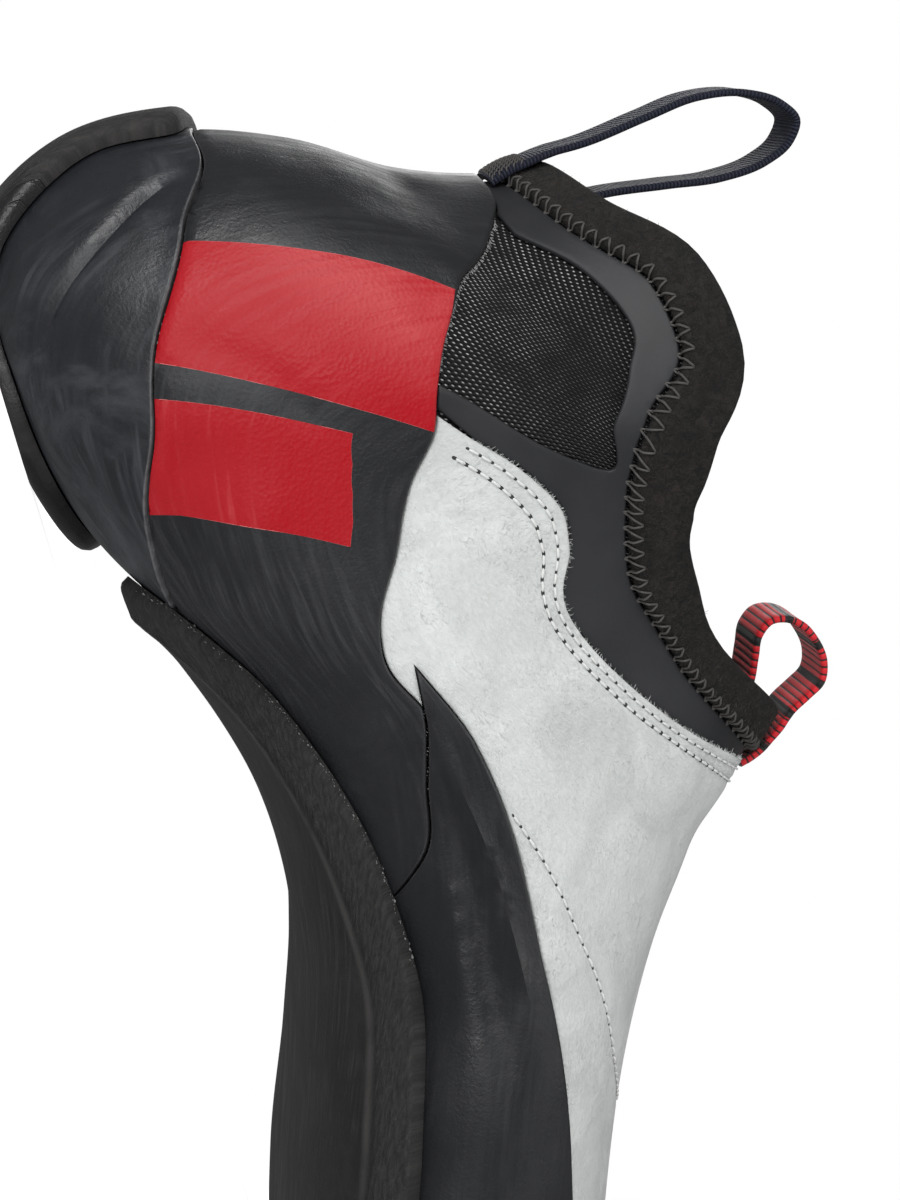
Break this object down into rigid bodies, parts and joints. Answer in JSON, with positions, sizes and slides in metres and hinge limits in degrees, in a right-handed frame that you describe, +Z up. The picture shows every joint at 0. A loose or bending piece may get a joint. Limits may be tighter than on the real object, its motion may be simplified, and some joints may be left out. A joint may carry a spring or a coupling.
{
  "type": "climbing shoe",
  "caption": "Downturned climbing slipper for the right foot, with suede instep, rubber rand, heel cup and outsole, and ribbon pull loops at the collar.",
  "frame": {"origin": "centre of the flat spot under the heel patch, which the shoe rests on", "axes": "+X towards the toe, +Y towards the shoe's inner side, +Z up"},
  "size_m": [0.2476, 0.0968, 0.1222],
  "materials": {
    "knit": "black woven mesh with a faint glint",
    "insole": "grey felted lining",
    "suede": "pale cool grey suede with a short nap",
    "rand_rubber": "charcoal rubber with a soft sheen",
    "band_rubber": "charcoal rubber with red printed blocks",
    "cup_rubber": "charcoal moulded rubber, semi-gloss",
    "sole_rubber": "matte black rubber with a trimmed edge",
    "film": "thin dark grey film",
    "felt": "dark felt binding with zigzag stitches",
    "ribbon": "navy-black ribbed ribbon",
    "red_ribbon": "red and black woven ribbon"
  },
  "bodies": {
    "root": {"upper": "knit", "insole": "insole", "quarter": "suede", "front_rand": "rand_rubber", "heel_band": "band_rubber", "heel_cup": "cup_rubber", "heel_patch": "cup_rubber", "outsole": "sole_rubber", "collar_film": "film", "collar_binding": "felt", "heel_pull_loop": "ribbon", "front_pull_loop": "red_ribbon"}
  },
  "joints": []
}
